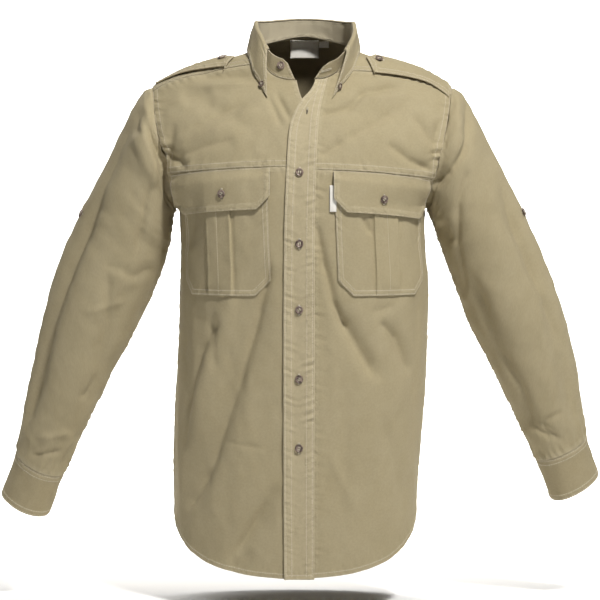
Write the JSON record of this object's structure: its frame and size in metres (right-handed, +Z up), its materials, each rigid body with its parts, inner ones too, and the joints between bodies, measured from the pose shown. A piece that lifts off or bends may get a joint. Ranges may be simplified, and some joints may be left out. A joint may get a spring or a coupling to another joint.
{
  "type": "field shirt",
  "caption": "Long-sleeved khaki field shirt with button-down collar, shoulder straps and pleated chest pockets with flaps, filled out as if worn.",
  "frame": {"origin": "middle of the neck hole, level with the top of the shoulders", "axes": "+Z up, -Y out of the chest, +X towards the wearer's left sleeve"},
  "size_m": [0.8606, 0.2686, 0.7913],
  "materials": {
    "lower_front_left": "washed cotton twill",
    "upper_front_left": "washed cotton twill",
    "sleeve_left": "washed cotton twill",
    "cuff_left": "washed cotton twill",
    "pocket_left": "washed cotton twill",
    "pocket_flap_left": "washed cotton twill",
    "shoulder_strap_left": "washed cotton twill",
    "lower_front_right": "washed cotton twill",
    "upper_front_right": "washed cotton twill",
    "sleeve_right": "washed cotton twill",
    "cuff_right": "washed cotton twill",
    "pocket_right": "washed cotton twill",
    "pocket_flap_right": "washed cotton twill",
    "shoulder_strap_right": "washed cotton twill",
    "back": "washed cotton twill",
    "yoke": "washed cotton twill",
    "placket": "washed cotton twill",
    "collar_stand": "washed cotton twill",
    "collar_leaf": "washed cotton twill",
    "neck_label": "matt woven tape",
    "size_tab": "matt woven tape",
    "pocket_tag": "matt woven tape",
    "placket_button_1": "mottled horn colour, polished",
    "placket_button_2": "mottled horn colour, polished",
    "placket_button_3": "mottled horn colour, polished",
    "placket_button_4": "mottled horn colour, polished",
    "placket_button_5": "mottled horn colour, polished",
    "stand_button": "mottled horn colour, polished",
    "collar_button_left": "mottled horn colour, polished",
    "collar_button_right": "mottled horn colour, polished",
    "flap_button_left": "mottled horn colour, polished",
    "strap_button_left": "mottled horn colour, polished",
    "sleeve_button_left": "mottled horn colour, polished",
    "cuff_button_left": "mottled horn colour, polished",
    "flap_button_right": "mottled horn colour, polished",
    "strap_button_right": "mottled horn colour, polished",
    "sleeve_button_right": "mottled horn colour, polished",
    "cuff_button_right": "mottled horn colour, polished"
  },
  "bodies": {
    "root": {"lower_front_left": "lower_front_left", "upper_front_left": "upper_front_left", "sleeve_left": "sleeve_left", "cuff_left": "cuff_left", "pocket_left": "pocket_left", "pocket_flap_left": "pocket_flap_left", "shoulder_strap_left": "shoulder_strap_left", "lower_front_right": "lower_front_right", "upper_front_right": "upper_front_right", "sleeve_right": "sleeve_right", "cuff_right": "cuff_right", "pocket_right": "pocket_right", "pocket_flap_right": "pocket_flap_right", "shoulder_strap_right": "shoulder_strap_right", "back": "back", "yoke": "yoke", "placket": "placket", "collar_stand": "collar_stand", "collar_leaf": "collar_leaf", "neck_label": "neck_label", "size_tab": "size_tab", "pocket_tag": "pocket_tag", "placket_button_1": "placket_button_1", "placket_button_2": "placket_button_2", "placket_button_3": "placket_button_3", "placket_button_4": "placket_button_4", "placket_button_5": "placket_button_5", "stand_button": "stand_button", "collar_button_left": "collar_button_left", "collar_button_right": "collar_button_right", "flap_button_left": "flap_button_left", "strap_button_left": "strap_button_left", "sleeve_button_left": "sleeve_button_left", "cuff_button_left": "cuff_button_left", "flap_button_right": "flap_button_right", "strap_button_right": "strap_button_right", "sleeve_button_right": "sleeve_button_right", "cuff_button_right": "cuff_button_right"}
  },
  "joints": []
}
